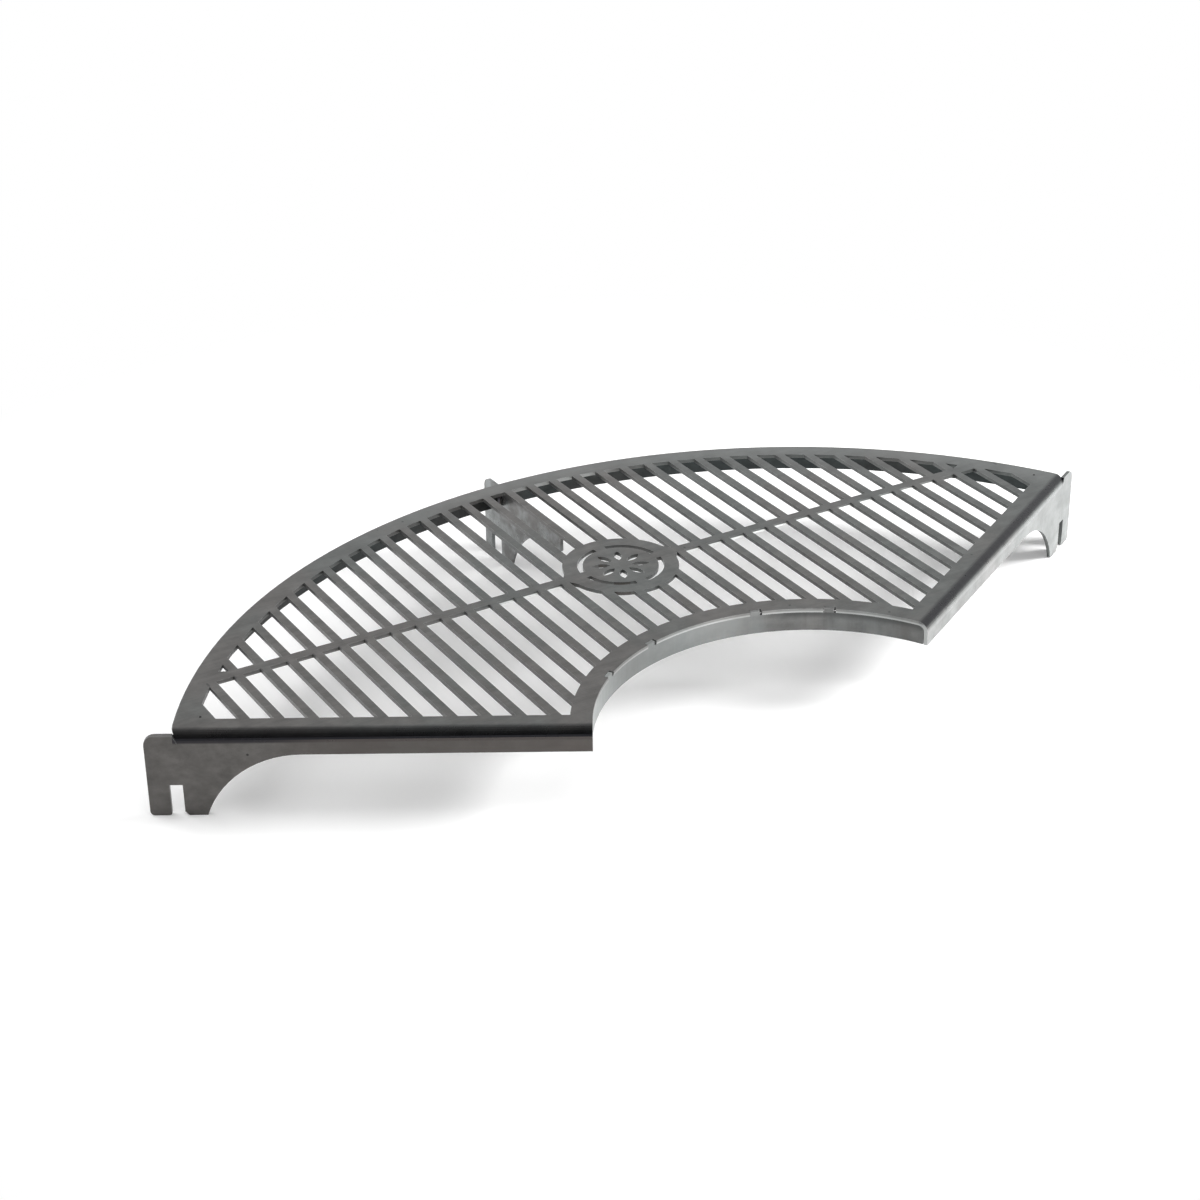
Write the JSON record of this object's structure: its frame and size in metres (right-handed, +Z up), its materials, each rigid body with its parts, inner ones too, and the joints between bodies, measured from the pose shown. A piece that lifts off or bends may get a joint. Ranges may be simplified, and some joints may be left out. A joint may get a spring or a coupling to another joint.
{
  "type": "curved fire pit grill",
  "caption": "Slotted steel cooking grate in the shape of a ring sector, with folded-down hooked arms and a middle hook that hang on the wall of a round fire ring.",
  "frame": {"origin": "middle of the bounding box at the feet's level, on the plane halfway between the two arms", "axes": "+X across the grill from its left arm to its right arm, +Y from the fire ring's centre outwards along the line halfway between the arms, +Z up out of the cooking surface"},
  "size_m": [0.8322, 0.4084, 0.0675],
  "materials": {
    "top_sheet_steel": "bare hot-rolled sheet with mill scale, satin grey",
    "strip_steel": "bare hot-rolled strip, satin grey",
    "bracket_steel": "bare hot-rolled plate, mottled grey",
    "weld_metal": "rippled weld bead, darkened by heat"
  },
  "bodies": {
    "root": {"grill_top": "top_sheet_steel", "inner_band": "strip_steel", "outer_band": "strip_steel", "centre_bracket": "bracket_steel", "inner_weld_1": "weld_metal", "inner_weld_2": "weld_metal", "inner_weld_3": "weld_metal", "inner_weld_4": "weld_metal", "inner_weld_5": "weld_metal", "outer_weld_1": "weld_metal", "outer_weld_2": "weld_metal", "outer_weld_3": "weld_metal", "outer_weld_4": "weld_metal", "outer_weld_5": "weld_metal", "outer_weld_6": "weld_metal", "outer_weld_7": "weld_metal", "bracket_weld_left": "weld_metal", "bracket_weld_right": "weld_metal", "bracket_weld_front": "weld_metal", "bracket_weld_middle": "weld_metal"}
  },
  "joints": []
}
